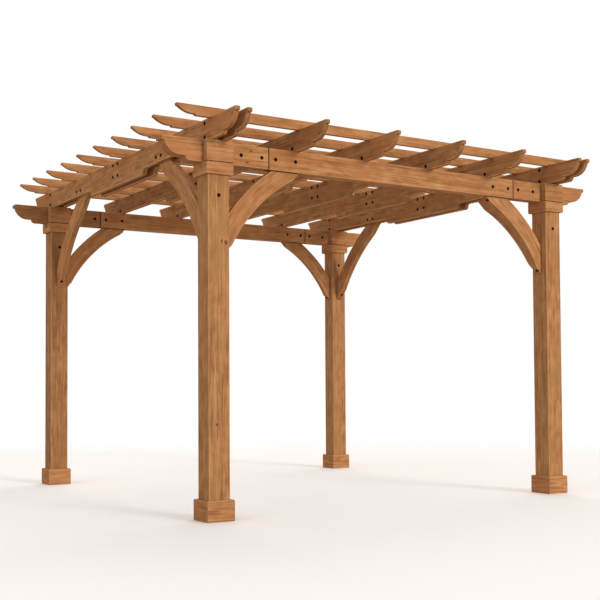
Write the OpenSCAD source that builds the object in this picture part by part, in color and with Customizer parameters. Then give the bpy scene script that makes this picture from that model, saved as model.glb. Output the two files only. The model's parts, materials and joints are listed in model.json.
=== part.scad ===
// Free-standing wooden pergola. Four posts, boxed in at foot and head, carry two beams, each
// joined from three lengths. Curved braces stiffen the corners. Rafters with shaped tails and a
// deeper belly cross the beams, in pairs over the posts, and notched purlins cross the rafters.
// Millimetres: X runs along the beams, Y along the rafters, Z up from the ground.

/* [Posts] */
// Distance between post centres along a beam
span_x = 2900; // [2600:10:3600]
// Distance between post centres along a rafter
span_y = 2930; // [2600:10:3600]
// Side of the square post
post_w = 148; // [120:1:180]
// Height of a post, from the ground to the underside of the beam
post_h = 2235; // [2000:5:2600]

/* [Collars] */
// Thickness of the boards round the foot of a post
base_t = 22; // [12:1:40]
// Height of the collar round the foot
base_h = 132; // [60:1:200]
// Thickness of the boards round the head of a post
cap_t = 20; // [12:0.5:30]
// Height of the collar round the head
cap_h = 77; // [40:1:120]
// Chamfer round the free rim of a collar
collar_ease = 4; // [1:0.5:8]

/* [Beams] */
// Thickness of a beam
beam_t = 89; // [60:1:110]
// Depth of a beam
beam_h = 140; // [110:1:180]
// Reach of a beam past the centre of its end post
beam_over = 376; // [340:1:600]
// Distance from the post's centre in to the seam between two lengths of a beam
seam_in = 381; // [200:1:700]

/* [Rafters] */
// Thickness of a rafter plank
rafter_t = 35; // [20:1:50]
// Depth of a rafter plank outside its belly
rafter_h = 141; // [110:1:180]
// Reach of a rafter past the centre of the post
rafter_over = 402; // [340:1:600]
// Gap between the two planks of a pair
pair_gap = 49; // [30:1:80]
// Length of the deeper middle of a rafter, its curved ends included
belly_len = 1050; // [600:10:1400]
// How far the belly hangs below the rest of the rafter
belly_drop = 44; // [36:1:80]
// Radius of the hollow where an end of the belly leaves the lower edge
belly_cove = 18; // [5:1:30]

/* [Purlins] */
// Thickness of a purlin
purlin_t = 32; // [20:1:50]
// Depth of a purlin
purlin_h = 64; // [50:1:90]
// Reach of a purlin past the centre of the post
purlin_over = 296; // [250:1:500]
// Distance from the post's centre out to the first and the last purlin
purlin_out = 78; // [0:1:150]
// Depth of the notches that seat a purlin on the rafters
notch_h = 9; // [3:0.5:15]
// Play at each side of a rafter plank in its notch
notch_play = 0.5; // [0.2:0.1:2]

/* [Tails] */
// Height of the blunt end of a beam or rafter
nose_h = 27; // [15:1:40]
// Depth of the shelf cut in under that end
shelf = 16; // [5:1:30]
// Length of the long round sweep behind the shelf
sweep = 109; // [80:1:140]
// Length of the flat between the sweep and the bead
flat = 36; // [10:1:60]
// Radius of the small round bead where the tail meets the full depth
bead = 29; // [10:1:35]
// Height of the blunt end of a purlin
purlin_nose = 17; // [8:1:24]
// Depth of the shelf under a purlin's end
purlin_shelf = 8; // [3:1:15]
// Length of the round sweep of a purlin's tail
purlin_sweep = 104; // [60:1:130]
// Length of the flat behind that sweep
purlin_flat = 14; // [5:1:30]
// Radius of the bead of a purlin's tail
purlin_bead = 9; // [4:1:14]

/* [Braces] */
// Width of a curved brace board across its grain
brace_w = 125; // [80:1:150]
// Play of a brace at each side between the planks of a pair
brace_play = 0.2; // [0.1:0.1:1]
// Leg of a beam brace, along the post and along the beam
beam_brace_leg = 553; // [480:1:620]
// Radius of the hollow edge of a beam brace
beam_brace_r = 1100; // [1000:10:1400]
// Distance of that edge from post and beam where it crosses the corner's diagonal
beam_brace_mid = 243; // [230:1:255]
// Leg of a rafter brace, along the post and along the rafter
rafter_brace_leg = 695; // [660:1:760]
// Radius of the hollow edge of a rafter brace
rafter_brace_r = 1580; // [1450:10:1900]
// Distance of that edge from post and rafter where it crosses the corner's diagonal
rafter_brace_mid = 320; // [305:1:330]
// How far a rafter brace runs up between the planks of its pair
brace_tuck = 70; // [40:1:100]

/* [Hidden] */
left = -1;
right = 1;
front = -1;
rear = 1;
// Steps in a quarter of a circle in the shaped outlines
arc_steps = 10;
// Overlap of a cutting shape past the face that it cuts
past = 1;
post_x = span_x / 2;
post_y = span_y / 2;
beam_top = post_h + beam_h;
rafter_top = beam_top + rafter_h;
cap_w = post_w + 2 * cap_t;
base_w = post_w + 2 * base_t;
cheek_t = (cap_w - beam_t) / 2;
brace_t = pair_gap - 2 * brace_play;
plank_off = (pair_gap + rafter_t) / 2;
belly_round = belly_drop - belly_cove;
// Lines of rafters, the two pairs included, evenly spaced between the pairs' inner planks
rafter_lines = 6;
rafter_pitch = (span_x - 2 * plank_off) / (rafter_lines - 1);
purlin_count = 10;
purlin_pitch = (span_y + 2 * purlin_out) / (purlin_count - 1);
// Centres of the rafter planks along a purlin: the outer pairs, then the singles
pair_planks = [for (side = [left, right], plank = [left, right]) side * post_x + plank * plank_off];
single_planks = [for (number = [1 : rafter_lines - 2]) single_x(number)];
wood = "#b5814f";
shaded_wood = "#9a6a40";

// Place of a single rafter plank along the beams, counted from the left
function single_x(number) = number * rafter_pitch + plank_off - post_x;

// Points along an arc, from one angle to another
function arc(centre, radius, start, end) =
    let (steps = max(3, ceil(abs(end - start) / 90 * arc_steps)))
    [for (i = [0 : steps])
        let (angle = start + (end - start) * i / steps)
        centre + radius * [cos(angle), sin(angle)]];

// Lower edge of a shaped tail, from its blunt end in to the full depth. The end is at x = 0, the
// board runs on towards +X and its top edge is at y = 0.
function tail(depth, nose, ledge, run, level, round) =
    let (drop = depth - nose - round)
    let (radius = (run * run + drop * drop) / (2 * drop))
    let (turn = asin(run / radius))
    concat(
        [[0, 0], [0, -nose], [ledge, -nose]],
        arc([ledge + run, radius - nose - drop], radius, 270 - turn, 270),
        arc([ledge + run + level + round, round - depth], round, 180, 270)
    );

// The same edge for the other end of a board that ends at x = length, in the order that follows on
function far_tail(edge, length) =
    [for (i = [len(edge) - 1 : -1 : 0]) [length - edge[i].x, edge[i].y]];

beam_tail = tail(beam_h, nose_h, shelf, sweep, flat, bead);
rafter_tail = tail(rafter_h, nose_h, shelf, sweep, flat, bead);
purlin_tail = tail(purlin_h, purlin_nose, purlin_shelf, purlin_sweep, purlin_flat, purlin_bead);

// Lower edge of a rafter's belly, centred at x = middle. Each end is an S, hollow then round.
function belly(middle) =
    let (half = belly_len / 2)
    let (turn = -rafter_h - belly_cove)
    concat(
        arc([middle - half, turn], belly_cove, 90, 0),
        arc([middle - half + belly_drop, turn], belly_round, 180, 270),
        arc([middle + half - belly_drop, turn], belly_round, 270, 360),
        arc([middle + half, turn], belly_cove, 180, 90)
    );

// A flat board of a given outline stood upright along X, with its thickness centred on Y
module board_along_x(thickness) {
    rotate([90, 0, 0])
        linear_extrude(thickness, center = true)
            children();
}

// A flat board of a given outline stood upright along Y, with its thickness centred on X
module board_along_y(thickness) {
    rotate([90, 0, 90])
        linear_extrude(thickness, center = true)
            children();
}

module post(x, y) {
    color(wood)
        translate([x * post_x - post_w / 2, y * post_y - post_w / 2, 0])
            cube([post_w, post_w, post_h]);
}

// Section of a collar's block, chamfered along its upper rim
module collar_section(width, height) {
    polygon([
        [-width / 2, 0], [width / 2, 0],
        [width / 2, height - collar_ease], [width / 2 - collar_ease, height],
        [collar_ease - width / 2, height], [-width / 2, height - collar_ease]
    ]);
}

// A square collar that fits round a post, with its chamfered rim on top
module collar(width, height) {
    difference() {
        intersection() {
            board_along_x(width) collar_section(width, height);
            board_along_y(width) collar_section(width, height);
        }
        translate([-post_w / 2, -post_w / 2, -past])
            cube([post_w, post_w, height + 2 * past]);
    }
}

module base_collar(x, y) {
    color(shaded_wood)
        translate([x * post_x, y * post_y, 0])
            collar(base_w, base_h);
}

module cap_collar(x, y) {
    color(shaded_wood)
        translate([x * post_x, y * post_y, post_h])
            rotate([180, 0, 0])
                collar(cap_w, cap_h);
}

// The four blocks that hold a beam upright over its two posts
module cheek_blocks(y) {
    color(wood)
        for (x = [left, right], face = [front, rear])
            translate([
                x * post_x - cap_w / 2,
                y * post_y + face * (beam_t + cheek_t) / 2 - cheek_t / 2,
                post_h
            ])
                cube([cap_w, cheek_t, beam_h]);
}

// One end of a beam, from its shaped tail over the post to the seam
module beam_end(x, y) {
    length = beam_over + seam_in;
    color(wood)
        translate([x * (post_x + beam_over), y * post_y, beam_top])
            mirror([x == right ? 1 : 0, 0, 0])
                board_along_x(beam_t)
                    polygon(concat(beam_tail, [[length, -beam_h], [length, 0]]));
}

// The plain middle length of a beam, between its two seams
module beam_middle(y) {
    length = span_x - 2 * seam_in;
    color(wood)
        translate([-length / 2, y * post_y - beam_t / 2, post_h])
            cube([length, beam_t, beam_h]);
}

// Outline of a curved brace in the corner below and beside x = 0, y = 0. Both edges are arcs about
// one centre on the corner's diagonal, and the tips are cut off along the line between the legs.
module brace_outline(leg, radius, mid, tuck) {
    centre = mid + radius / sqrt(2);
    intersection() {
        difference() {
            translate([centre, -centre]) circle(radius + brace_w, $fn = 180);
            translate([centre, -centre]) circle(radius, $fn = 180);
        }
        polygon([[0, tuck], [0, -leg], [leg + tuck, tuck]]);
    }
}

// A brace from a post up to the underside of its beam
module beam_brace(x, y) {
    color(shaded_wood)
        translate([x * (post_x - post_w / 2), y * post_y, post_h])
            mirror([x == right ? 1 : 0, 0, 0])
                board_along_x(brace_t)
                    brace_outline(beam_brace_leg, beam_brace_r, beam_brace_mid, 0);
}

// A brace from a post up between the two planks of a rafter pair
module rafter_brace(x, y) {
    color(shaded_wood)
        translate([x * post_x, y * (post_y - post_w / 2), beam_top])
            mirror([0, y == rear ? 1 : 0, 0])
                board_along_y(brace_t)
                    brace_outline(rafter_brace_leg, rafter_brace_r, rafter_brace_mid, brace_tuck);
}

// One rafter plank, with a shaped tail at each end and the belly between
module rafter_plank() {
    length = span_y + 2 * rafter_over;
    translate([0, -length / 2, rafter_top])
        board_along_y(rafter_t)
            polygon(concat(rafter_tail, belly(length / 2), far_tail(rafter_tail, length)));
}

// The two planks over a line of posts, spaced by the thickness of a brace
module rafter_pair(x) {
    color(wood)
        for (plank = [left, right])
            translate([x * post_x + plank * plank_off, 0, 0])
                rafter_plank();
}

// A single plank between the pairs, counted from the left
module rafter(number) {
    color(wood)
        translate([single_x(number), 0, 0])
            rafter_plank();
}

// A purlin across all rafters, counted from the front, notched to sit over each plank
module purlin(number) {
    length = span_x + 2 * purlin_over;
    notch_w = rafter_t + 2 * notch_play;
    top = rafter_top - notch_h + purlin_h;
    color(wood)
        translate([0, (number - 1) * purlin_pitch - post_y - purlin_out, top])
            board_along_x(purlin_t)
                difference() {
                    translate([-length / 2, 0])
                        polygon(concat(purlin_tail, far_tail(purlin_tail, length)));
                    for (plank = concat(pair_planks, single_planks))
                        translate([plank - notch_w / 2, -purlin_h - past])
                            square([notch_w, notch_h + past]);
                }
}

post(left, front);  // post_front_left
post(right, front);  // post_front_right
post(left, rear);  // post_rear_left
post(right, rear);  // post_rear_right
base_collar(left, front);  // base_collar_front_left
base_collar(right, front);  // base_collar_front_right
base_collar(left, rear);  // base_collar_rear_left
base_collar(right, rear);  // base_collar_rear_right
cap_collar(left, front);  // cap_collar_front_left
cap_collar(right, front);  // cap_collar_front_right
cap_collar(left, rear);  // cap_collar_rear_left
cap_collar(right, rear);  // cap_collar_rear_right
cheek_blocks(front);  // cheek_blocks_front
cheek_blocks(rear);  // cheek_blocks_rear
beam_end(left, front);  // front_beam_left_end
beam_middle(front);  // front_beam_middle
beam_end(right, front);  // front_beam_right_end
beam_end(left, rear);  // rear_beam_left_end
beam_middle(rear);  // rear_beam_middle
beam_end(right, rear);  // rear_beam_right_end
beam_brace(left, front);  // beam_brace_front_left
beam_brace(right, front);  // beam_brace_front_right
beam_brace(left, rear);  // beam_brace_rear_left
beam_brace(right, rear);  // beam_brace_rear_right
rafter_brace(left, front);  // rafter_brace_front_left
rafter_brace(right, front);  // rafter_brace_front_right
rafter_brace(left, rear);  // rafter_brace_rear_left
rafter_brace(right, rear);  // rafter_brace_rear_right
rafter_pair(left);  // rafter_pair_left
rafter(1);  // rafter_1
rafter(2);  // rafter_2
rafter(3);  // rafter_3
rafter(4);  // rafter_4
rafter_pair(right);  // rafter_pair_right
purlin(1);  // purlin_01
purlin(2);  // purlin_02
purlin(3);  // purlin_03
purlin(4);  // purlin_04
purlin(5);  // purlin_05
purlin(6);  // purlin_06
purlin(7);  // purlin_07
purlin(8);  // purlin_08
purlin(9);  // purlin_09
purlin(10);  // purlin_10
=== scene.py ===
# %% [markdown]
# # Dressing a wooden pergola
# The construction of this pergola is already fixed: posts, collars, beams, braces, rafters and
# purlins, each a solid of its own at its real size. This lesson gives those solids their looks.
# Every board gets eased edges, a grain that runs the way it was sawn and a stain of its own, and the
# bolts are set where the boards are joined. Nothing is moved: each piece goes where the frame says.

# %% Load the frame
import json
import math
import random

import bmesh
import bpy
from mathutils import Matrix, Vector
from mathutils.bvhtree import BVHTree


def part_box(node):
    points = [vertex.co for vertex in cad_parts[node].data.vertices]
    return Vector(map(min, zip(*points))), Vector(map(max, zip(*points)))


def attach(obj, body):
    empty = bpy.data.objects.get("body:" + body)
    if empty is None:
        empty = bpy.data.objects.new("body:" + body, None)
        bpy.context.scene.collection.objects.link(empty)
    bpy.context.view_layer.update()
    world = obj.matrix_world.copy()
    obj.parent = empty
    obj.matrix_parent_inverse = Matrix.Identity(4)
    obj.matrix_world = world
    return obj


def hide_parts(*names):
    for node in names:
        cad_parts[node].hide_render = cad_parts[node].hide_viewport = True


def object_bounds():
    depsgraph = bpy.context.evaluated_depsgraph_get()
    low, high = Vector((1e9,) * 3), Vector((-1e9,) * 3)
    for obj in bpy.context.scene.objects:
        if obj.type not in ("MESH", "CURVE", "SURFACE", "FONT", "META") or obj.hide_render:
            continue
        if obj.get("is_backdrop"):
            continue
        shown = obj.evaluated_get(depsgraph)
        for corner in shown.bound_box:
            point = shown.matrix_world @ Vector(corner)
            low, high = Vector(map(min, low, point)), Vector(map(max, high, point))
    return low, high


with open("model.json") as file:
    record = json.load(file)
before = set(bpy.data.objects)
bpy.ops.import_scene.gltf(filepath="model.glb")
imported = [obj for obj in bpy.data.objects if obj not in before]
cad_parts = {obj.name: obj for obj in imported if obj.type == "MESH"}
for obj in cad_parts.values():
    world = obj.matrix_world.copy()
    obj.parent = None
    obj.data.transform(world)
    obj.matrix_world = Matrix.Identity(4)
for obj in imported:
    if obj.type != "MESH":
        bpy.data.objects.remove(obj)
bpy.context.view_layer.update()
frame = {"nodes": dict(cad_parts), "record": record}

nodes = frame["nodes"]

# %% [markdown]
# ## The camera
# The photograph was taken from low down, left of the front, with a longish lens. A camera that is
# tipped back makes upright posts lean together. So the lens is shifted up a little instead, and the
# camera is tipped by two degrees only. That keeps the posts as upright as they are in the photograph.

# %% Camera
CAMERA_PLACE = (-4.508, -7.347, 0.860)
CAMERA_TURN = 32.14
CAMERA_TIP = 2.06
CAMERA_ROLL = 0.33
LENS = 63.24
SENSOR = 36.0
SHIFT_UP = 0.0735

lens = bpy.data.cameras.new("photo_lens")
lens.sensor_width = SENSOR
lens.lens = LENS
lens.shift_y = SHIFT_UP
camera = bpy.data.objects.new("photo_camera", lens)
camera.location = CAMERA_PLACE
camera.rotation_euler = [math.radians(angle) for angle in (90 + CAMERA_TIP, CAMERA_ROLL, -CAMERA_TURN)]
bpy.context.scene.collection.objects.link(camera)
bpy.context.scene.camera = camera
bpy.context.scene.view_settings.view_transform = "Standard"
print("camera at", CAMERA_PLACE, "lens", LENS, "mm")

# %% [markdown]
# ## Small helpers for node trees
# A material or a world is a graph of nodes. Writing one out by hand takes three lines for each node:
# make it, set its values, link its inputs. One helper does all three, so that the recipes below read
# as recipes. An input is given as a plain value, or as the output of another node.

# %% Node helpers
def add_node(tree, kind, inputs=None, **settings):
    """A new node of a tree, with its settings made and its inputs filled or linked."""
    node = tree.nodes.new(kind)
    for name, value in settings.items():
        setattr(node, name, value)
    for key, value in (inputs or {}).items():
        socket = node.inputs[key]
        if isinstance(value, bpy.types.NodeSocket):
            tree.links.new(value, socket)
        else:
            socket.default_value = value
    return node


def math_node(tree, operation, first, second=0.0):
    """The output of one step of arithmetic on numbers."""
    return add_node(tree, "ShaderNodeMath", {0: first, 1: second}, operation=operation).outputs[0]


def vector_node(tree, operation, first, second):
    """The output of one step of arithmetic on vectors."""
    return add_node(tree, "ShaderNodeVectorMath", {0: first, 1: second}, operation=operation).outputs[0]


def rising(tree, value, slope, base):
    """A number that starts at a base and rises with a value."""
    inputs = {0: value, 1: slope, 2: base}
    return add_node(tree, "ShaderNodeMath", inputs, operation="MULTIPLY_ADD").outputs[0]


def length_node(tree, vector):
    """The length of a vector."""
    return add_node(tree, "ShaderNodeVectorMath", {0: vector}, operation="LENGTH").outputs["Value"]


def ramp_node(tree, value, start, end):
    """0 before start, 1 after end, and a smooth rise between them."""
    inputs = {"Value": value, "From Min": start, "From Max": end}
    node = add_node(tree, "ShaderNodeMapRange", inputs, interpolation_type="SMOOTHSTEP")
    return node.outputs["Result"]


def noise_node(tree, place, scale, detail=2.0):
    """A node of smooth noise at a place, from 0 to 1."""
    return add_node(tree, "ShaderNodeTexNoise", {"Vector": place, "Scale": scale, "Detail": detail})


def mix_colours(tree, share, first, second):
    """A mix of two colours. The Mix node has them at its inputs 6 and 7, and at its output 2."""
    inputs = {0: share, 6: first, 7: second}
    return add_node(tree, "ShaderNodeMix", inputs, data_type="RGBA").outputs[2]


def weighed_mix(tree, mask, share, first, second):
    """A mix of two colours by a share of a mask."""
    return mix_colours(tree, math_node(tree, "MULTIPLY", mask, share), first, second)


def seen_plainly(tree):
    """1 for a ray from the camera, a mirror or a clear surface, and 0 for light on things."""
    path = add_node(tree, "ShaderNodeLightPath")
    direct = math_node(tree, "MAXIMUM", path.outputs["Is Camera Ray"], path.outputs["Is Glossy Ray"])
    return math_node(tree, "MAXIMUM", direct, path.outputs["Is Transmission Ray"])


def new_material(name):
    """A new material with an empty node tree."""
    material = bpy.data.materials.new(name)
    material.use_nodes = True
    material.node_tree.nodes.clear()
    return material


print("node helpers ready")

# %% [markdown]
# ## Light, sky and floor
# The light is that of a white studio, with white all round and three soft lamps: a key lamp at the
# front, a fill lamp on the left, and a higher lamp behind, which lays the roof's shade on the floor.
# The sky is plain white where it is looked at, and a weaker white where it lights the wood, so the
# background can be white without washing the object out. The floor is a pale sheet that takes the
# object's shadow and fades into the white background some metres away. It throws back less light
# than it shows, because the undersides of the boards are dark in the photograph.

# %% Sky
SKY_LIGHT = 0.57
SKY_TINT = (0.985, 0.995, 1.03, 1)

world = bpy.data.worlds.new("white_studio")
world.use_nodes = True
sky = world.node_tree
sky.nodes.clear()
glow = add_node(sky, "ShaderNodeBackground", {"Color": SKY_TINT, "Strength": SKY_LIGHT})
white = add_node(sky, "ShaderNodeBackground", {"Color": (1, 1, 1, 1), "Strength": 1.0})
choose = add_node(sky, "ShaderNodeMixShader",
                  {0: seen_plainly(sky), 1: glow.outputs[0], 2: white.outputs[0]})
add_node(sky, "ShaderNodeOutputWorld", {"Surface": choose.outputs[0]})
bpy.context.scene.world = world
print("sky light", SKY_LIGHT)

# %% Lamps
KEY = {"power": 1.87, "spread": 22, "rise": 12, "side": 16, "colour": (1.0, 0.965, 0.91)}
FILL = {"power": 0.74, "spread": 60, "rise": 12, "side": -78, "colour": (0.97, 0.97, 1.0)}
BACK = {"power": 1.00, "spread": 50, "rise": 48, "side": 140, "colour": (1.0, 0.975, 0.96)}


def add_lamp(name, lamp):
    """A soft lamp far away, some degrees up and some degrees round from the front to the right."""
    light = bpy.data.lights.new(name, "SUN")
    light.energy = lamp["power"]
    light.angle = math.radians(lamp["spread"])
    light.color = lamp["colour"]
    holder = bpy.data.objects.new(name, light)
    holder.rotation_euler = [math.radians(angle) for angle in (90 - lamp["rise"], 0, lamp["side"])]
    bpy.context.scene.collection.objects.link(holder)
    print(name, lamp["power"], "from", lamp["rise"], "degrees up")


add_lamp("key_lamp", KEY)
add_lamp("fill_lamp", FILL)
add_lamp("back_lamp", BACK)

# %% Floor
FLOOR_REACH = 14.0
FADE_START = 4.2
FADE_END = 7.5
FLOOR_SEEN = (1.050, 1.010, 0.950, 1)
FLOOR_BOUNCE = (0.53, 0.475, 0.42, 1)

floor_mesh = bpy.data.meshes.new("floor")
corners = [(x * FLOOR_REACH, y * FLOOR_REACH, 0) for x, y in ((-1, -1), (1, -1), (1, 1), (-1, 1))]
floor_mesh.from_pydata(corners, [], [(0, 1, 2, 3)])
floor = bpy.data.objects.new("floor", floor_mesh)
bpy.context.scene.collection.objects.link(floor)
floor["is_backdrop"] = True

pale_floor = new_material("pale_floor")
tree = pale_floor.node_tree
place = add_node(tree, "ShaderNodeTexCoord").outputs["Object"]
reach = length_node(tree, place)
behind = add_node(tree, "ShaderNodeNewGeometry").outputs["Backfacing"]
fade = math_node(tree, "MAXIMUM", ramp_node(tree, reach, FADE_START, FADE_END), behind)
paper = add_node(tree, "ShaderNodeBsdfDiffuse", {"Color": FLOOR_SEEN})
bounce = add_node(tree, "ShaderNodeBsdfDiffuse", {"Color": FLOOR_BOUNCE})
gone = add_node(tree, "ShaderNodeBsdfTransparent")
faded = add_node(tree, "ShaderNodeMixShader", {0: fade, 1: paper.outputs[0], 2: gone.outputs[0]})
looked_at = seen_plainly(tree)
surface = add_node(tree, "ShaderNodeMixShader",
                   {0: looked_at, 1: bounce.outputs[0], 2: faded.outputs[0]})
add_node(tree, "ShaderNodeOutputMaterial", {"Surface": surface.outputs[0]})
floor_mesh.materials.append(pale_floor)
print("floor fades from", FADE_START, "to", FADE_END, "metres")

# %% [markdown]
# ## Stained softwood
# Every board is planed softwood with an orange-brown stain. Its look has a few layers: growth rings
# round a pith that usually lies outside the board, streaks drawn out along the grain, fine fibres,
# slow blotches where the stain took more or less, and a knot here and there that the rings bend
# round. An image of wood would repeat and stretch. A solid texture runs through the board instead, so
# the streaks on a face meet the rings on the sawn end, and a curved board can have a curved grain.
# The texture reads three coordinates that each board carries along: how far along the grain a point
# lies, and where it lies across it. Each board also has a tone of its own, which on a few boards holds
# painted shade.

# %% [markdown]
# ### Knots and rings
# A Voronoi texture divides the wood into cells. A few cells hold a knot, on broad faces only, and a
# knot is a little longer along the grain. The rings are counted outwards from the pith. They sway
# slowly, and near a knot they are pushed aside.

# %% Knots
KNOT_CELLS = 2.6
KNOT_SQUEEZE = 3.0
KNOT_FLATTEN = 0.1
KNOT_STRETCH = 0.75
KNOT_SHARE = 0.14
KNOT_LEAST = 0.005
KNOT_GROWTH = 0.009
KNOT_RIM = (1.15, 0.7)
KNOT_REACH = (4.5, 0.0)
BROAD_FACE = (0.5, 0.9)


def board_value(tree, name, output="Fac"):
    """One of the values that a board's mesh carries."""
    return add_node(tree, "ShaderNodeAttribute", attribute_name=name).outputs[output]


def knots_in(tree, grain):
    """How much a point lies in a knot, and how far the rings are pushed aside there."""
    squeezed = vector_node(tree, "MULTIPLY", grain, (1.0, KNOT_SQUEEZE, KNOT_FLATTEN))
    cells = add_node(tree, "ShaderNodeTexVoronoi", {"Vector": squeezed, "Scale": KNOT_CELLS})
    drawn = add_node(tree, "ShaderNodeSeparateColor", {0: cells.outputs["Color"]}).outputs
    picked = math_node(tree, "LESS_THAN", drawn[0], KNOT_SHARE)
    broad = ramp_node(tree, board_value(tree, "broad"), *BROAD_FACE)
    kept = math_node(tree, "MULTIPLY", picked, broad)
    step = vector_node(tree, "SUBTRACT", squeezed, cells.outputs["Position"])
    flat = vector_node(tree, "MULTIPLY", step, (KNOT_STRETCH, 1.0 / KNOT_SQUEEZE, 0.0))
    width = rising(tree, drawn[1], KNOT_GROWTH, KNOT_LEAST)
    near = math_node(tree, "DIVIDE", length_node(tree, flat), width)
    knot = math_node(tree, "MULTIPLY", kept, ramp_node(tree, near, *KNOT_RIM))
    push = math_node(tree, "MULTIPLY", kept, ramp_node(tree, near, *KNOT_REACH))
    return knot, push


print("share of cells with a knot:", KNOT_SHARE)

# %% Growth rings
RING_WIDTH = 0.0075
SWAY = 0.030
SWAY_ALONG = 0.45
SWAY_SCALE = 2.4
KNOT_PUSH = 2.2
DARKENING = (0.25, 0.85)
WINTER = (1.0, 0.90)


def rings_in(tree, grain, push):
    """Growth rings: 0 in the pale early wood and 1 in the thin dark late wood."""
    slow = vector_node(tree, "MULTIPLY", grain, (SWAY_ALONG, 1.0, 1.0))
    drift = noise_node(tree, slow, SWAY_SCALE).outputs["Color"]
    sway = vector_node(tree, "SUBTRACT", drift, (0.5, 0.5, 0.5))
    bent = add_node(tree, "ShaderNodeVectorMath", {0: sway, 1: (SWAY, SWAY, SWAY), 2: grain},
                    operation="MULTIPLY_ADD")
    flat = vector_node(tree, "MULTIPLY", bent.outputs[0], (0.0, 1.0, 1.0))
    years = math_node(tree, "DIVIDE", length_node(tree, flat), RING_WIDTH)
    count = math_node(tree, "ADD", years, math_node(tree, "MULTIPLY", push, KNOT_PUSH))
    season = math_node(tree, "FRACT", count)
    rise = ramp_node(tree, season, *DARKENING)
    fall = ramp_node(tree, season, *WINTER)
    return math_node(tree, "MULTIPLY", rise, fall)


print("width of a ring:", RING_WIDTH)

# %% [markdown]
# ### The stain and its marks
# Each layer of the stain is noise that is drawn out along the grain, a lot for fibres and little for
# patches. The layers and the rings together say how deep the brown is. Then come the marks: free
# edges get a pale painted highlight, joints get dark dirt with painted shade, and sawn ends and knots
# are darker than the rest. On the purlins the sawn tails are darker still, with painted shade.

# %% Stain layers
LAYERS = {"streak": (0.05, 85.0, 4.0), "fibre": (0.03, 420.0, 2.0), "blotch": (0.35, 7.0, 3.0),
          "patch": (0.5, 21.0, 3.0), "line": (0.035, 30.0, 3.0)}
LAYER_DEPTHS = {"streak": 2.0, "fibre": 1.3, "patch": 1.6}
BASE_DEPTH = 0.32
RING_DEPTH = 0.30
BLOTCH_RANGE = (0.40, 0.70)
BLOTCH_SHARE = 0.55
LINE_RANGE = (0.56, 0.76)
LINE_SHARE = 0.42
LINE_COLOUR = (0.190, 0.068, 0.018, 1)


def layer_noise(tree, grain, stretch, scale, detail):
    """Noise from 0 to 1, drawn out along the grain."""
    place = vector_node(tree, "MULTIPLY", grain, (stretch, 1.0, 1.0))
    return noise_node(tree, place, scale, detail).outputs["Fac"]


def centred(tree, value, share):
    """A value from 0 to 1, brought round zero and weighed."""
    return math_node(tree, "MULTIPLY", math_node(tree, "SUBTRACT", value, 0.5), share)


def wood_colour(tree, noises, ring, pale, deep, warm):
    """The stain from pale to deep, with blotches and dark lines, in the board's tone and painted shade.
    """
    depth = rising(tree, ring, RING_DEPTH, BASE_DEPTH)
    for layer, share in LAYER_DEPTHS.items():
        depth = math_node(tree, "ADD", depth, centred(tree, noises[layer], share))
    colour = mix_colours(tree, depth, pale, deep)
    taken = ramp_node(tree, noises["blotch"], *BLOTCH_RANGE)
    colour = weighed_mix(tree, taken, BLOTCH_SHARE, colour, warm)
    dark = ramp_node(tree, noises["line"], *LINE_RANGE)
    colour = weighed_mix(tree, dark, LINE_SHARE, colour, LINE_COLOUR)
    inputs = {0: colour, "Scale": board_value(tree, "tone")}
    return add_node(tree, "ShaderNodeVectorMath", inputs, operation="SCALE").outputs[0]


print("layers of stain:", sorted(LAYERS))

# %% Marks on a board
FREE_EDGE = 1.0
JOINT_EDGE = -1.0
# Painted highlight: free eased edges are made pale, along the streaks and on long edges only.
HIGHLIGHT_STREAKS = (0.25, 0.6)
LONG_EDGES = (0.45, 0.15)
EDGE_HIGHLIGHT_COLOUR = (0.740, 0.405, 0.178, 1)
# Joints: dirt, and painted shade where one board meets another, nearly black.
JOINT_DIRT_AND_SHADE_SHARE = 0.9
JOINT_DIRT_AND_SHADE_COLOUR = (0.045, 0.018, 0.008, 1)
# Sawn ends are darker end grain; at the purlins' high share this also paints shade under the tails.
SAWN_RANGE = (0.25, 0.80)
SAWN_COLOUR = (0.215, 0.088, 0.030, 1)
KNOT_STAIN = 0.75
KNOT_COLOUR = (0.105, 0.036, 0.012, 1)


def mark_board(tree, colour, streak, knot, highlight_share, sawn_and_shade_share):
    """A colour with painted highlights on free edges, dirt and painted shade at joints, sawn ends,
    knots.
    """
    edge = board_value(tree, "edge")
    cut = board_value(tree, "cut")
    free = ramp_node(tree, edge, 0.0, FREE_EDGE)
    # Painted highlight on the free long edges.
    highlight = math_node(tree, "MULTIPLY", free, ramp_node(tree, streak, *HIGHLIGHT_STREAKS))
    highlight = math_node(tree, "MULTIPLY", highlight, ramp_node(tree, cut, *LONG_EDGES))
    colour = weighed_mix(tree, highlight, highlight_share, colour, EDGE_HIGHLIGHT_COLOUR)
    # Dirt and painted shade along the joints.
    joint = ramp_node(tree, edge, 0.0, JOINT_EDGE)
    colour = weighed_mix(tree, joint, JOINT_DIRT_AND_SHADE_SHARE, colour, JOINT_DIRT_AND_SHADE_COLOUR)
    # Darker end grain, and on the purlins painted shade under the curved tails.
    sawn = ramp_node(tree, cut, *SAWN_RANGE)
    colour = weighed_mix(tree, sawn, sawn_and_shade_share, colour, SAWN_COLOUR)
    return weighed_mix(tree, knot, KNOT_STAIN, colour, KNOT_COLOUR)


# The pale free edges are a painted highlight, and the joints carry painted shade besides dirt.
print("marks: worn edges, joints, sawn ends, knots")

# %% Wood recipe
# The strength of the painted highlight on free edges.
EDGE_HIGHLIGHT_SHARE = 0.45
SAWN_SHARE = 0.20
LEAST_ROUGH = 0.64
STREAK_ROUGH = 0.22
RING_BUMP = 0.5
BUMP_STRENGTH = 0.35
WOOD_BUMP = 0.0006
WOOD_GLOSS = 0.04


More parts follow.
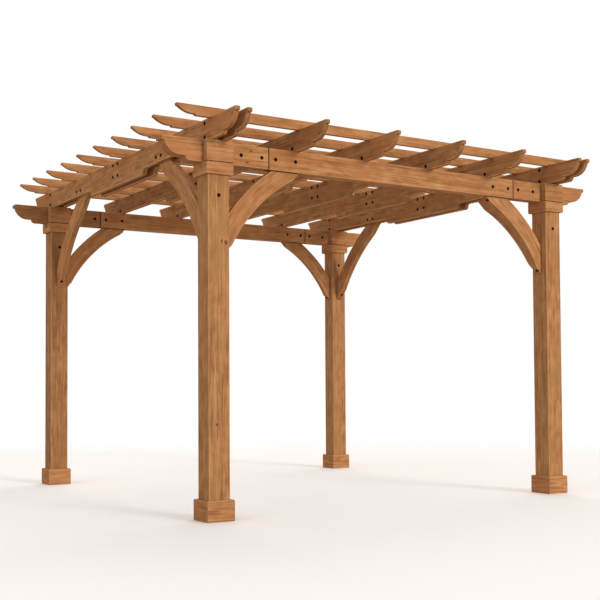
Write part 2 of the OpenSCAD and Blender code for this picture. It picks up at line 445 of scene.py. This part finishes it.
def wood_material(name, pale, deep, warm, highlight_share=EDGE_HIGHLIGHT_SHARE, sawn_and_shade_share=SAWN_SHARE):
    """Stained softwood between a pale and a deep brown, with warmer blotches."""
    wood = new_material(name)
    tree = wood.node_tree
    grain = board_value(tree, "grain", "Vector")
    knot, push = knots_in(tree, grain)
    ring = rings_in(tree, grain, push)
    noises = {layer: layer_noise(tree, grain, *shape) for layer, shape in LAYERS.items()}
    streak = noises["streak"]
    stain = wood_colour(tree, noises, ring, pale, deep, warm)
    colour = mark_board(tree, stain, streak, knot, highlight_share, sawn_and_shade_share)
    rough = rising(tree, streak, STREAK_ROUGH, LEAST_ROUGH)
    height = math_node(tree, "ADD", math_node(tree, "MULTIPLY", ring, RING_BUMP), noises["fibre"])
    bump = add_node(tree, "ShaderNodeBump",
                    {"Strength": BUMP_STRENGTH, "Distance": WOOD_BUMP, "Height": height})
    finish = add_node(tree, "ShaderNodeBsdfPrincipled",
                      {"Base Color": colour, "Roughness": rough, "Specular IOR Level": WOOD_GLOSS,
                       "Normal": bump.outputs[0]})
    add_node(tree, "ShaderNodeOutputMaterial", {"Surface": finish.outputs[0]})
    return wood


print("wood recipe ready")

# %% Stains
PALE = (0.570, 0.282, 0.116, 1)
DEEP = (0.315, 0.128, 0.047, 1)
WARM = (0.460, 0.180, 0.063, 1)
OLIVE = (0.420, 0.212, 0.079, 1)

stains = {
    "post_wood": wood_material("post_stain", PALE, DEEP, OLIVE),
    "collar_wood": wood_material("collar_stain", PALE, DEEP, WARM),
    "beam_wood": wood_material("beam_stain", PALE, DEEP, WARM),
    "brace_wood": wood_material("brace_stain", PALE, DEEP, WARM),
    # The rafters get a strong painted highlight along their free edges.
    "rafter_wood": wood_material("rafter_stain", PALE, DEEP, WARM, highlight_share=0.90, sawn_and_shade_share=0.10),
    # On the purlins the dark sawn mark is strong, which paints shade under their curved tails.
    "purlin_wood": wood_material("purlin_stain", PALE, DEEP, WARM, sawn_and_shade_share=0.80),
}
slots = {part["node"]: part["material_slot"] for part in frame["record"]["subparts"]}
print("stains:", sorted(stains))

# %% [markdown]
# ## From solids to boards
# The solids have knife-sharp edges. Planed timber never has: its edges are eased with a plane or a
# router, and that thin line catches the light along every board. A Bevel modifier would ease hollow
# corners and small curve steps as well, so the edges are picked here by their angle and bevelled in
# mesh code. A copy of each solid is cleaned first: its triangles share no points, so doubles are
# merged and flat triangles joined. Each narrow face that the easing makes is marked as a free edge or
# as a joint with another board. The stain paints a pale highlight on free edges and dirt with painted
# shade on joints. The copy then stands for the solid, which stays hidden.

# %% Board helpers
MERGE = 0.00002
FLAT = math.radians(0.5)
SHARP = math.radians(28)
SMOOTH = math.radians(20)
EASE = 0.0045
EASE_STEPS = 2
ROUND_PROFILE = 0.5
NEAR = 0.005
TOWARDS_MIDDLE = 0.2

surfaces = {}
for name, node in nodes.items():
    corners = [vertex.co for vertex in node.data.vertices]
    surfaces[name] = BVHTree.FromPolygons(corners, [polygon.vertices for polygon in node.data.polygons])


def box_of(name):
    """The low and the high corner of a node's box."""
    low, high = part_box(name)
    return Vector(low), Vector(high)


def clean_copy(name):
    """A node's mesh with its doubles merged and its flat triangles joined."""
    work = bmesh.new()
    work.from_mesh(nodes[name].data)
    bmesh.ops.remove_doubles(work, verts=work.verts[:], dist=MERGE)
    bmesh.ops.dissolve_limit(work, angle_limit=FLAT, verts=work.verts[:], edges=work.edges[:])
    return work


def cut_across(work, place, facing, clear=False):
    """Cut a mesh along a plane. What lies in front of the plane is dropped if clear is set."""
    geometry = work.verts[:] + work.edges[:] + work.faces[:]
    bmesh.ops.bisect_plane(work, geom=geometry, dist=MERGE, plane_co=place, plane_no=facing,
                           clear_outer=clear)


def is_joint(face, others):
    """True where a narrow face lies against another board over its whole length."""
    middle = face.calc_center_median()
    places = [middle] + [point.co.lerp(middle, TOWARDS_MIDDLE) for point in face.verts]
    return any(all(surface.find_nearest(place, NEAR)[0] for place in places) for surface in others)


def ease_edges(work, name, ease):
    """Bevel the outer corners, and mark each face made as a free edge or a joint."""
    mark = work.faces.layers.float.new("edge")
    edges = [edge for edge in work.edges
             if edge.is_manifold and edge.is_convex and edge.calc_face_angle() > SHARP]
    made = bmesh.ops.bevel(work, geom=edges, offset=ease, offset_type="OFFSET",
                           segments=EASE_STEPS, profile=ROUND_PROFILE, affect="EDGES",
                           clamp_overlap=True)
    others = [surface for other, surface in surfaces.items() if other != name]
    for face in made["faces"]:
        face[mark] = JOINT_EDGE if is_joint(face, others) else FREE_EDGE


def islands(work):
    """The separate boards of a mesh, each as a set of its points."""
    left = set(work.verts)
    found = []
    while left:
        front = [left.pop()]
        island = set(front)
        while front:
            point = front.pop()
            for edge in point.link_edges:
                other = edge.other_vert(point)
                if other in left:
                    left.remove(other)
                    island.add(other)
                    front.append(other)
        found.append(island)

    def first_point(island):
        return min(tuple(round(value, 4) for value in point.co) for point in island)

    return sorted(found, key=first_point)


print("board helpers ready")

# %% [markdown]
# ## Giving a board its grain
# A straight board's grain coordinates are its own box coordinates, turned so that the first runs
# along the tree. They are moved by a random distance, so that no two boards show the same stretch of
# wood, and the pith is put somewhere beside the board, as a sawmill leaves it. A curved brace is cut
# from a bent blank: its first coordinate follows the arc and its second is the radius. Each kind of
# board has a range of tones, and a few boards are darker or paler than their kind, as they are in the
# photograph. On the rear beam's left end and the two rear right braces, the darker tone is painted
# shade, where the roof and the rafters shade them.

# %% Grain
GRAIN_SEED = 2688
TONES = {"post_wood": (0.88, 1.02), "collar_wood": (0.94, 1.05), "beam_wood": (0.92, 1.00),
         "brace_wood": (0.92, 1.00), "rafter_wood": (0.76, 0.90), "purlin_wood": (0.90, 1.00)}
# Tones of single boards. On the rear beam's left end and the rear right braces they are painted shade.
OWN_TONES_AND_SHADE = {"post_rear_left": 0.80, "rear_beam_left_end": 0.72, "rafter_1": 0.80,
             "base_collar_front_left": 0.90, "cap_collar_front_left": 1.06,
             "rafter_brace_rear_right": 0.86, "beam_brace_rear_right": 0.88}
PITH = (0.035, 0.11)
GRAIN_REACH = 60
LEAN = 0.02

chance = random.Random(GRAIN_SEED)


def straight_grain(along):
    """Grain along one axis of space, 0 for X, 1 for Y and 2 for Z."""
    across, through = [axis for axis in (2, 0, 1) if axis != along]

    def coordinates(point):
        return point[along], point[across], point[through]

    def directions(point):
        return [Vector([float(axis == way) for axis in range(3)]) for way in (along, through)]

    return coordinates, directions


def bent_grain(centre, inward, radius):
    """Grain along an arc in the upright plane that holds inward, round a centre."""
    side = inward.cross(Vector((0, 0, 1)))

    def coordinates(point):
        arm = point - centre
        out = math.hypot(arm.dot(inward), arm.z)
        angle = math.atan2(arm.z, arm.dot(inward))
        return angle * radius, out - radius, arm.dot(side)

    def directions(point):
        arm = point - centre
        flat = Vector((arm.dot(inward), arm.z)).normalized()
        return inward * -flat.y + Vector((0, 0, flat.x)), side

    return coordinates, directions


def give_grain(work, name, grains):
    """Set every board's grain, tone and sawn ends. grains gives the grain of each board in turn."""
    grain_layer = work.verts.layers.float_vector.new("grain")
    tone_layer = work.faces.layers.float.new("tone")
    cut_layer = work.faces.layers.float.new("cut")
    broad_layer = work.faces.layers.float.new("broad")
    for island, (coordinates, directions) in zip(islands(work), grains):
        places = {point: Vector(coordinates(point.co)) for point in island}
        middle = sum(places.values(), Vector()) / len(places)
        turn = chance.uniform(0, 2 * math.pi)
        pith = chance.uniform(*PITH)
        shift = Vector((chance.uniform(0, GRAIN_REACH), pith * math.cos(turn), pith * math.sin(turn)))
        # The board's tone, which for a few listed boards is painted shade.
        tone = chance.uniform(*TONES[slots[name]]) * OWN_TONES_AND_SHADE.get(name, 1.0)
        lean = chance.uniform(-LEAN, LEAN)
        for point, place in places.items():
            place -= middle
            place.y += lean * place.x
            point[grain_layer] = place + shift
        for face in {face for point in island for face in point.link_faces}:
            face[tone_layer] = tone
            along, through = directions(face.calc_center_median())
            face[cut_layer] = abs(face.normal.dot(along))
            face[broad_layer] = abs(face.normal.dot(through))


def finish_board(work, name):
    """Turn the work into the piece that stands for a node."""
    mesh = bpy.data.meshes.new(name + "_boards")
    for face in work.faces:
        face.smooth = True
    work.to_mesh(mesh)
    work.free()
    mesh.set_sharp_from_angle(angle=SMOOTH)
    mesh.materials.append(stains[slots[name]])
    piece = bpy.data.objects.new(name + "_boards", mesh)
    bpy.context.scene.collection.objects.link(piece)
    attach(piece, "root")
    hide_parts(name)


print("grain helpers ready")

# %% [markdown]
# ## Posts, beams, rafters and purlins
# These are straight boards, so one loop dresses them all. What differs is the way of the grain: up a
# post, along X in the beams, cheek blocks and purlins, and along Y in the rafters.

# %% Straight boards
ALONG = {"post": 2, "front_beam": 0, "rear_beam": 0, "cheek_blocks": 0, "rafter": 1, "purlin": 0}


def grain_axis(name):
    """The axis of a straight board's grain, or nothing for other pieces."""
    if "brace" in name:
        return None
    return next((axis for start, axis in ALONG.items() if name.startswith(start)), None)


straight = [name for name in nodes if grain_axis(name) is not None]
for name in straight:
    work = clean_copy(name)
    ease_edges(work, name, EASE)
    grain = straight_grain(grain_axis(name))
    give_grain(work, name, [grain] * len(islands(work)))
    finish_board(work, name)
print("straight boards:", len(straight))

# %% [markdown]
# ## Collars
# A collar is boxed together from four boards that meet in mitres at the corners. The solid is a plain
# ring, so it is cut along its two upright diagonals. Each quarter is closed where it was cut, eased
# a little, which leaves a fine line at the mitre, and gets a level grain.

# %% Collars
MITRE_EASE = 0.0016


def quarter(name, outward):
    """The board on one side of a collar."""
    work = clean_copy(name)
    low, high = box_of(name)
    middle = (low + high) / 2
    side = Vector((-outward.y, outward.x, 0))
    for facing in (side - outward, -side - outward):
        cut_across(work, middle, facing, clear=True)
        bmesh.ops.holes_fill(work, edges=[edge for edge in work.edges if edge.is_boundary])
    bmesh.ops.recalc_face_normals(work, faces=work.faces[:])
    ease_edges(work, name, MITRE_EASE)
    give_grain(work, name, [straight_grain(1 if outward.x else 0)])
    return work


collars = [name for name in nodes if "collar" in name]
for name in collars:
    whole = bmesh.new()
    for outward in (Vector((0, -1, 0)), Vector((-1, 0, 0)), Vector((0, 1, 0)), Vector((1, 0, 0))):
        board = quarter(name, outward)
        part = bpy.data.meshes.new("mitred_board")
        board.to_mesh(part)
        board.free()
        whole.from_mesh(part)
        bpy.data.meshes.remove(part)
    finish_board(whole, name)
print("collars:", len(collars))

# %% [markdown]
# ## Curved braces
# A brace follows an arc between a post and a beam or a pair of rafters, and its grain follows the
# same arc. The values of a mesh are only right at its points and run straight between them, so the
# broad sides are first cut into narrow slices across the arc. Then the grain bends smoothly.

# %% Braces
HOLLOW_RADIUS = {"beam": 1.100, "rafter": 1.580}
HOLLOW_REACH = {"beam": 0.243, "rafter": 0.320}
BRACE_WIDTH = 0.125
SLICE = math.radians(2)

post_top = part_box("post_front_left")[1][2]
beam_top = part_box("front_beam_middle")[1][2]


def brace_corner(name):
    """The corner that a brace stiffens, and the level direction from its post into the bay."""
    kind, _, row, side = name.split("_")
    low, high = box_of("post_" + row + "_" + side)
    corner = (low + high) / 2
    if kind == "beam":
        inward = Vector((1 if side == "left" else -1, 0, 0))
        corner.z = post_top
    else:
        inward = Vector((0, 1 if row == "front" else -1, 0))
        corner.z = beam_top
    corner += inward * (high.x - low.x) / 2
    return kind, corner, inward


braces = [name for name in nodes if "brace" in name]
for name in braces:
    kind, corner, inward = brace_corner(name)
    reach = HOLLOW_REACH[kind] + HOLLOW_RADIUS[kind] / math.sqrt(2)
    centre = corner + inward * reach - Vector((0, 0, reach))
    work = clean_copy(name)
    ease_edges(work, name, EASE)
    for step in range(1, round(math.pi / 2 / SLICE)):
        angle = math.pi / 2 + step * SLICE
        across = inward * -math.sin(angle) + Vector((0, 0, math.cos(angle)))
        cut_across(work, centre, across)
    give_grain(work, name, [bent_grain(centre, inward, HOLLOW_RADIUS[kind] + BRACE_WIDTH / 2)])
    finish_board(work, name)
print("braces:", len(braces))

# %% [markdown]
# ## Bolts
# Dark bolt heads show wherever boards are joined. They are all alike, so Geometry Nodes make one head
# and set it on every place, turned to face outwards. A head is a low cone with a round socket in it.
# On the far side of a board that is bolted right through, a washer and a nut show. The places come
# from the boxes of the boards: over the posts, at the middle of each rafter, at the top of a rafter
# brace, on both sides of a seam in a beam, on the posts, and on the cut tips of the braces.

# %% Bolt places
BOLT_EDGE = 0.027
MID_SPREAD = 0.044
BRACE_BOLT_Y = 0.770
BRACE_BOLT_GAP = 0.040
BRACE_BOLT_RISE = 0.035
SEAM_OFFSETS = (-0.204, -0.052, 0.052, 0.204)
POST_BOLT_Z = 2.030
LEFTWARD = Vector((-1, 0, 0))
FORWARD = Vector((0, -1, 0))

heads = []
nuts = []
post_low, post_high = box_of("post_rear_right")
post_middle = (post_low + post_high) / 2
rafters = [name for name in nodes if name.startswith("rafter") and "brace" not in name]
for name in rafters:
    low, high = box_of(name)
    lower = beam_top + BOLT_EDGE
    upper = high.z - BOLT_EDGE
    spots = [(y, z) for y in (-MID_SPREAD, MID_SPREAD) for z in (lower, upper)]
    for side in (-1, 1):
        spots.append((side * post_middle.y, lower))
        if "pair" in name:
            spots.append((side * post_middle.y, upper))
            for gap in (-BRACE_BOLT_GAP, BRACE_BOLT_GAP):
                spots.append((side * (BRACE_BOLT_Y + gap), beam_top + BRACE_BOLT_RISE))
    for y, z in spots:
        heads.append((Vector((low.x, y, z)), LEFTWARD))
        nuts.append((Vector((high.x, y, z)), -LEFTWARD))
print("bolts through rafters:", len(heads))

# %% Beam, post and brace bolts
for row in ("front", "rear"):
    low, high = box_of(row + "_beam_middle")
    level = (low.z + high.z) / 2
    for seam in (low.x, high.x):
        for offset in SEAM_OFFSETS:
            heads.append((Vector((seam + offset, low.y, level)), FORWARD))
            nuts.append((Vector((seam + offset, high.y, level)), -FORWARD))
    for side in ("left", "right"):
        low, high = box_of("post_" + row + "_" + side)
        heads.append((Vector(((low.x + high.x) / 2, low.y, POST_BOLT_Z)), FORWARD))

for name in braces:
    kind, corner, inward = brace_corner(name)
    slant = (inward - Vector((0, 0, 1))).normalized()
    points = [vertex.co.copy() for vertex in nodes[name].data.vertices]
    furthest = max(slant.dot(point - corner) for point in points)
    tips = [point for point in points if furthest - slant.dot(point - corner) < MERGE]
    split = sum(point.z for point in tips) / len(tips)
    ends = [[point for point in tips if point.z < split]]
    if kind == "beam":
        ends.append([point for point in tips if point.z >= split])
    for end in ends:
        low_corner = Vector([min(point[axis] for point in end) for axis in range(3)])
        high_corner = Vector([max(point[axis] for point in end) for axis in range(3)])
        heads.append(((low_corner + high_corner) / 2, slant))
print("bolt heads:", len(heads), "nuts:", len(nuts))

# %% [markdown]
# ### A head and a nut as node trees
# Each tree takes its sizes as named inputs. It makes one shape, sets a copy of it on every point and
# turns the copy to face the way that the point says, with a random spin from a fixed seed.

# %% Bolt tree
HEAD_SIDES = 16
SPIN_SEED = 5

head_sizes = {"Radius": 0.0130, "Top Radius": 0.0092, "Height": 0.0055, "Socket Share": 0.55,
              "Socket Depth": 0.0032}


def new_tree(name, sizes):
    """An empty Geometry Nodes tree with named sizes, and its two end nodes."""
    tree = bpy.data.node_groups.new(name, "GeometryNodeTree")
    tree.interface.new_socket("Geometry", in_out="INPUT", socket_type="NodeSocketGeometry")
    for size in sizes:
        tree.interface.new_socket(size, in_out="INPUT", socket_type="NodeSocketFloat")
    tree.interface.new_socket("Material", in_out="INPUT", socket_type="NodeSocketMaterial")
    tree.interface.new_socket("Geometry", in_out="OUTPUT", socket_type="NodeSocketGeometry")
    return tree, tree.nodes.new("NodeGroupInput"), tree.nodes.new("NodeGroupOutput")


def set_on_places(tree, start, end, shape):
    """Set a shape on every point, its Z along the point's facing, with a random spin."""
    facing = add_node(tree, "GeometryNodeInputNamedAttribute", {"Name": "facing"},
                      data_type="FLOAT_VECTOR")
    aim = add_node(tree, "FunctionNodeAlignRotationToVector", {"Vector": facing.outputs[0]}, axis="Z")
    spin = add_node(tree, "FunctionNodeRandomValue", {"Min": 0.0, "Max": math.tau, "Seed": SPIN_SEED},
                    data_type="FLOAT")
    angle = next(output for output in spin.outputs if output.enabled)
    turn = add_node(tree, "ShaderNodeCombineXYZ", {"Z": angle})
    spun = add_node(tree, "FunctionNodeRotateRotation", {0: aim.outputs[0], 1: turn.outputs[0]},
                    rotation_space="LOCAL")
    placed = add_node(tree, "GeometryNodeInstanceOnPoints",
                      {"Points": start.outputs["Geometry"], "Instance": shape,
                       "Rotation": spun.outputs[0]})
    solid = add_node(tree, "GeometryNodeRealizeInstances", {"Geometry": placed.outputs[0]})
    coated = add_node(tree, "GeometryNodeSetMaterial",
                      {"Geometry": solid.outputs[0], "Material": start.outputs["Material"]})
    tree.links.new(coated.outputs[0], end.inputs["Geometry"])


head_tree, start, end = new_tree("bolt_head", head_sizes)
cone = add_node(head_tree, "GeometryNodeMeshCone",
                {"Vertices": HEAD_SIDES, "Radius Bottom": start.outputs["Radius"],
                 "Radius Top": start.outputs["Top Radius"], "Depth": start.outputs["Height"]})
rim = add_node(head_tree, "GeometryNodeExtrudeMesh",
               {"Mesh": cone.outputs["Mesh"], "Selection": cone.outputs["Top"], "Offset Scale": 0.0})
mouth = add_node(head_tree, "GeometryNodeScaleElements",
                 {"Geometry": rim.outputs["Mesh"], "Selection": rim.outputs["Top"],
                  "Scale": start.outputs["Socket Share"]})
sunk = math_node(head_tree, "MULTIPLY", start.outputs["Socket Depth"], -1.0)
socket = add_node(head_tree, "GeometryNodeExtrudeMesh",
                  {"Mesh": mouth.outputs[0], "Selection": rim.outputs["Top"], "Offset Scale": sunk})
set_on_places(head_tree, start, end, socket.outputs["Mesh"])
print("bolt tree nodes:", len(head_tree.nodes))

# %% Nut tree
PART_SIDES = {"Stub": 10, "Nut": 6, "Washer": 20}

nut_sizes = {"Washer Radius": 0.0150, "Washer Height": 0.0025, "Nut Radius": 0.0105,
             "Nut Height": 0.0080, "Stub Radius": 0.0048, "Stub Height": 0.0125}
nut_tree, start, end = new_tree("bolt_nut", nut_sizes)
stack = add_node(nut_tree, "GeometryNodeJoinGeometry")
for part, sides in PART_SIDES.items():
    height = start.outputs[part + " Height"]
    drum = add_node(nut_tree, "GeometryNodeMeshCylinder",
                    {"Vertices": sides, "Radius": start.outputs[part + " Radius"], "Depth": height})
    half = math_node(nut_tree, "MULTIPLY", height, 0.5)
    lift = add_node(nut_tree, "ShaderNodeCombineXYZ", {"Z": half})
    raised = add_node(nut_tree, "GeometryNodeTransform",
                      {"Geometry": drum.outputs["Mesh"], "Translation": lift.outputs[0]})
    nut_tree.links.new(raised.outputs[0], stack.inputs[0])
set_on_places(nut_tree, start, end, stack.outputs[0])
print("nut tree nodes:", len(nut_tree.nodes))

# %% [markdown]
# ### Black coated steel
# The heads are nearly black. Outdoor bolts are coated, so the metal is dull and slightly mottled.

# %% Steel
COAT_DARK = (0.007, 0.003, 0.0015, 1)
COAT_LIGHT = (0.022, 0.009, 0.004, 1)
MOTTLE_SCALE = 320.0
MOTTLE_DETAIL = 3.0
LEAST_DULL = 0.58
MOTTLE_DULL = 0.25
STEEL_GLOSS = 0.06

steel = new_material("black_steel")
tree = steel.node_tree
place = add_node(tree, "ShaderNodeTexCoord").outputs["Object"]
mottle = noise_node(tree, place, MOTTLE_SCALE, MOTTLE_DETAIL).outputs["Fac"]
coat = mix_colours(tree, mottle, COAT_DARK, COAT_LIGHT)
dull = rising(tree, mottle, MOTTLE_DULL, LEAST_DULL)
metal = add_node(tree, "ShaderNodeBsdfPrincipled",
                 {"Base Color": coat, "Roughness": dull, "Specular IOR Level": STEEL_GLOSS})
add_node(tree, "ShaderNodeOutputMaterial", {"Surface": metal.outputs[0]})
print("steel:", steel.name)

# %% [markdown]
# ### Setting the bolts
# The places become a mesh of loose points, each with the way that it faces. The tree is run once and
# its result kept as a plain mesh, because a finished piece carries no live tree.

# %% Set bolts
SEAT = 0.0006
BOLT_SMOOTH = math.radians(40)


def set_pieces(name, places, tree, sizes):
    """Run a tree over the places, and keep the result as one plain piece."""
    points = bpy.data.meshes.new(name + "_places")
    points.from_pydata([spot - facing * SEAT for spot, facing in places], [], [])
    facings = points.attributes.new("facing", "FLOAT_VECTOR", "POINT")
    for index, (spot, facing) in enumerate(places):
        facings.data[index].vector = facing
    holder = bpy.data.objects.new(name + "_places", points)
    bpy.context.scene.collection.objects.link(holder)
    modifier = holder.modifiers.new(name, "NODES")
    modifier.node_group = tree
    inputs = {item.name: item.identifier for item in tree.interface.items_tree
              if item.in_out == "INPUT"}
    for size, value in sizes.items():
        modifier[inputs[size]] = value
    modifier[inputs["Material"]] = steel
    graph = bpy.context.evaluated_depsgraph_get()
    mesh = bpy.data.meshes.new_from_object(holder.evaluated_get(graph))
    holder.modifiers.clear()
    bpy.data.objects.remove(holder)
    mesh.name = name
    piece = bpy.data.objects.new(name, mesh)
    bpy.context.scene.collection.objects.link(piece)
    mesh.set_sharp_from_angle(angle=BOLT_SMOOTH)
    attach(piece, "root")
    return piece


bolt_heads = set_pieces("bolt_heads", heads, head_tree, head_sizes)
bolt_nuts = set_pieces("bolt_nuts", nuts, nut_tree, nut_sizes)
for piece in (bolt_heads, bolt_nuts):
    print(piece.name, "faces:", len(piece.data.polygons))

# %% [markdown]
# ## Measure and finish
# The looks may not outgrow the construction, so the size of the dressed object is printed.

# %% Sizes
low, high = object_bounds()
print("visual size:", [round(side, 3) for side in high - low])
